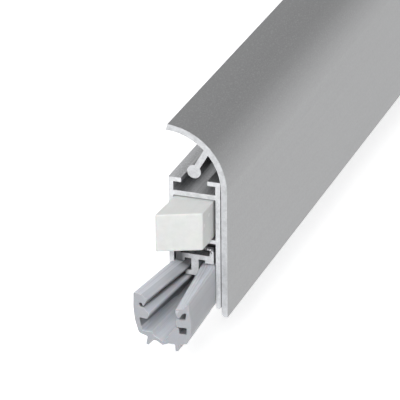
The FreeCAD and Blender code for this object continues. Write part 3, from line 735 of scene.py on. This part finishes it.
def mark_drawn(seal, rings):
    """Store each point's place along the length, its place round the section, and its kind.

    Painted shade of the plunger's shadow darkens the top of the door side's lip close to the
    housing's mouth.
    """
    held = rubber_ring(-1, 0.0)
    around = [0.0]
    for a, b in zip(held, held[1:]):
        around.append(around[-1] + (b - a).length)
    kinds = [corner[4] for corner in rubber_corners(0.0) for _ in range(corner[3] + 1)]
    inner = point(0, AXIS, MOUTH_SHADE_HEIGHT)
    values = []
    for ring in rings:
        for place, run, kind in zip(ring, around, kinds):
            # Painted shade near the housing's mouth on the top of the door side's lip
            if place.y > inner.y and place.z > inner.z:
                reach = abs(abs(place.x) * MM_PER_M - HALF_LENGTH)
                kind -= MOUTH_SHADE * max(0.0, 1 - reach / MOUTH_SHADE_RUN)
            values += [place.x, run, kind]
    layer = seal.data.attributes.new("drawn", "FLOAT_VECTOR", "POINT")
    layer.data.foreach_set("vector", values)


def rubber_ring(direction, reach, inset=0.0):
    """Points round the section at one end, -1 near or 1 far, drawn in by an inset."""
    outline = rounded(rubber_corners(reach))
    spread = max(reach, 0) / RUBBER_REACH
    middle = AXIS - RUBBER_SHIFT
    ring = []
    for i, place in enumerate(outline):
        along = outline[(i + 1) % len(outline)] - outline[i - 1]
        drawn = place + Vector((-along.y, along.x)).normalized() * inset
        skew = spread * RUBBER_SKEW * (place.x - middle)
        ring.append(point(direction * (HALF_LENGTH + reach + skew), drawn.x, drawn.y))
    return ring


def rubber_end(direction):
    """Rings of one half of the seal, from inside the housing out to the free end."""
    rings = [rubber_ring(direction, reach) for reach in (*RUBBER_RINGS, RUBBER_REACH - EDGE_SOFT)]
    return rings + [rubber_ring(direction, RUBBER_REACH, EDGE_SOFT)]


def rubber_seal():
    """Whole seal, lofted from the near free end to the far one."""
    rings = rubber_end(-1)[::-1] + rubber_end(1)
    seal = shell("rubber_profile", rings, "grey_rubber", "seal", RUBBER_SHARP)
    mark_drawn(seal, rings)
    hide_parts("seal_rubber")


rubber_seal()


# Return spring
def return_spring():
    """Coil of round wire around the plunger's rod."""
    low, high = [Vector(corner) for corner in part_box("return_spring")]
    middle = (low + high) / 2
    wire = SPRING_WIRE / 2 / MM_PER_M
    radius = SPRING_RADIUS / MM_PER_M
    run = high.x - low.x - 2 * wire
    lead = run / (SPRING_TURNS * 2 * math.pi)
    count = round(SPRING_TURNS * SPRING_STEPS)
    rings = []
    for step in range(count + 1):
        turn = 2 * math.pi * step / SPRING_STEPS
        outward = Vector((0, math.sin(turn), -math.cos(turn)))
        onward = Vector((0, math.cos(turn), math.sin(turn)))
        across = Vector((radius, 0, 0)) - onward * lead
        across.normalize()
        heart = Vector((low.x + wire + lead * turn, middle.y, middle.z)) + outward * radius
        ring = []
        for side in range(SPRING_SIDES):
            angle = 2 * math.pi * side / SPRING_SIDES
            ring.append(heart + (outward * math.cos(angle) + across * math.sin(angle)) * wire)
        rings.append(ring)
    coil = shell("spring_coil", rings, "bright_steel", "housing", SPRING_SHARP)
    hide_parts("return_spring")
    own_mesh(coil)


return_spring()


# Floor, sky and lamps
def flat_sheet(name, width, depth, material):
    """Level rectangle round the origin, to be moved and turned by the caller."""
    x, y = width / 2, depth / 2
    mesh = bpy.data.meshes.new(name)
    mesh.from_pydata([(-x, -y, 0), (x, -y, 0), (x, y, 0), (-x, y, 0)], [], [(0, 1, 2, 3)])
    mesh.materials.append(material)
    sheet = bpy.data.objects.new(name, mesh)
    bpy.context.scene.collection.objects.link(sheet)
    return sheet


def aimed(place, aim):
    """Turn that points an object's -Z axis from its place to an aim."""
    return (Vector(aim) - Vector(place)).to_track_quat("-Z", "Y").to_euler()


def white_floor(height):
    """Pale matt floor that the camera sees as white apart from the object's shadow."""
    material = bpy.data.materials.new("floor")
    tree = Tree(material)
    matt = tree.add("BsdfDiffuse", Color=FLOOR_COLOUR).outputs[0]
    glow = tree.add("Emission", Color=WHITE, Strength=FLOOR_LIFT).outputs[0]
    lit = tree.add("AddShader")
    tree.put(lit, "0", matt)
    tree.put(lit, "1", glow)
    choose = tree.add("MixShader", Fac=tree.background_ray())
    tree.put(choose, "1", matt)
    tree.put(choose, "2", lit.outputs[0])
    tree.surface(choose.outputs[0])
    floor = flat_sheet("floor", FLOOR_SIZE, FLOOR_SIZE, material)
    floor.location.z = height


def sky():
    """Broad soft light from the world, which the camera sees as white."""
    world = bpy.data.worlds.new("studio")
    bpy.context.scene.world = world
    tree = Tree(world)
    coordinates = tree.add("TexCoord")
    glow = 0.0
    for direction, sharpness, strength in SKY_LOBES:
        facing = tree.dot(coordinates.outputs["Generated"], direction)
        lobe = tree.math("POWER", tree.math("MAXIMUM", facing, 0.0), sharpness)
        glow = tree.math("MULTIPLY_ADD", lobe, strength, glow)
    seen = tree.mix(tree.background_ray(), tree.gray(glow), WHITE)
    back = tree.add("Background", Color=seen, Strength=1.0)
    tree.surface(back.outputs[0], "OutputWorld")


def grey_card():
    """Darkens the cover's curve in its reflections, as a studio's flag does."""
    material = bpy.data.materials.new("card")
    tree = Tree(material)
    glow = tree.add("Emission", Color=WHITE, Strength=CARD_GLOW)
    tree.surface(glow.outputs[0])
    card = flat_sheet("card", CARD_WIDTH, CARD_HEIGHT, material)
    card.location = CARD_PLACE
    card.rotation_euler = aimed(CARD_PLACE, CARD_AIM)
    for ray in ("camera", "diffuse", "transmission", "volume_scatter", "shadow"):
        setattr(card, "visible_" + ray, False)


def soft_light(name, place, aim, size, power):
    """Round area lamp."""
    data = bpy.data.lights.new(name, "AREA")
    data.shape = "DISK"
    data.size = size
    data.energy = power
    lamp = bpy.data.objects.new(name, data)
    lamp.location = place
    lamp.rotation_euler = aimed(place, aim)
    bpy.context.scene.collection.objects.link(lamp)


near_end = Vector((cad_box[0].x, (cad_box[0].y + cad_box[1].y) / 2, LAMP_AIM_HEIGHT))
white_floor(cad_box[0].z - FLOOR_GAP)
sky()
grey_card()
for name, place, size, power in LAMPS:
    soft_light(name, place, near_end, size, power)

camera = bpy.data.objects.new("camera", bpy.data.cameras.new("camera"))
camera.data.lens = CAMERA_LENS
camera.data.clip_start = CAMERA_CLIP
camera.location = CAMERA_PLACE
camera.rotation_euler = Euler([math.radians(a) for a in CAMERA_TURN])
bpy.context.scene.collection.objects.link(camera)
bpy.context.scene.camera = camera
bpy.context.scene.view_settings.view_transform = "Standard"
